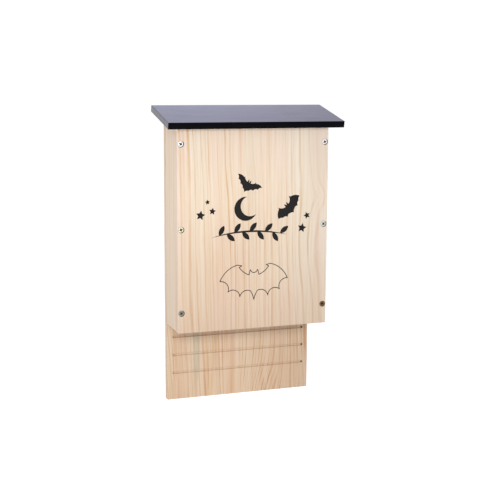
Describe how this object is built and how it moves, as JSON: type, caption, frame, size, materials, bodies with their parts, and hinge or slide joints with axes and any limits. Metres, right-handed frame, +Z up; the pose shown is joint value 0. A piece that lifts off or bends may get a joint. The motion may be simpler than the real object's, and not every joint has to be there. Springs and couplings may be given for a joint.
{
  "type": "bat box",
  "caption": "Wall-hung wooden bat box: open-bottomed roosting chamber over a grooved landing panel, sloping black roof, and a front panel with burned-in bats, stars, moon and twig.",
  "frame": {"origin": "centre of the round entry of the hanging keyhole, on the rear face of the back panel", "axes": "+Y out of the rear face to the wall, -Y to the front, +Z up, +X to the right seen from the front"},
  "size_m": [0.253, 0.0909, 0.4216],
  "materials": {
    "back_board": "bare pine, sawn and lightly sanded",
    "side_boards": "bare pine, lightly sanded",
    "front_board": "bare pine, lightly sanded, with burned-in dark figures",
    "black_coating": "smooth glossy black coating on wood",
    "zinc_plate": "bright zinc plating",
    "coated_pins": "steel, coated over with the roof"
  },
  "bodies": {
    "root": {"back_panel": "back_board", "left_side": "side_boards", "right_side": "side_boards", "front_panel": "front_board", "roof": "black_coating", "front_screws": "zinc_plate", "back_screws": "zinc_plate", "roof_pins": "coated_pins"}
  },
  "joints": []
}
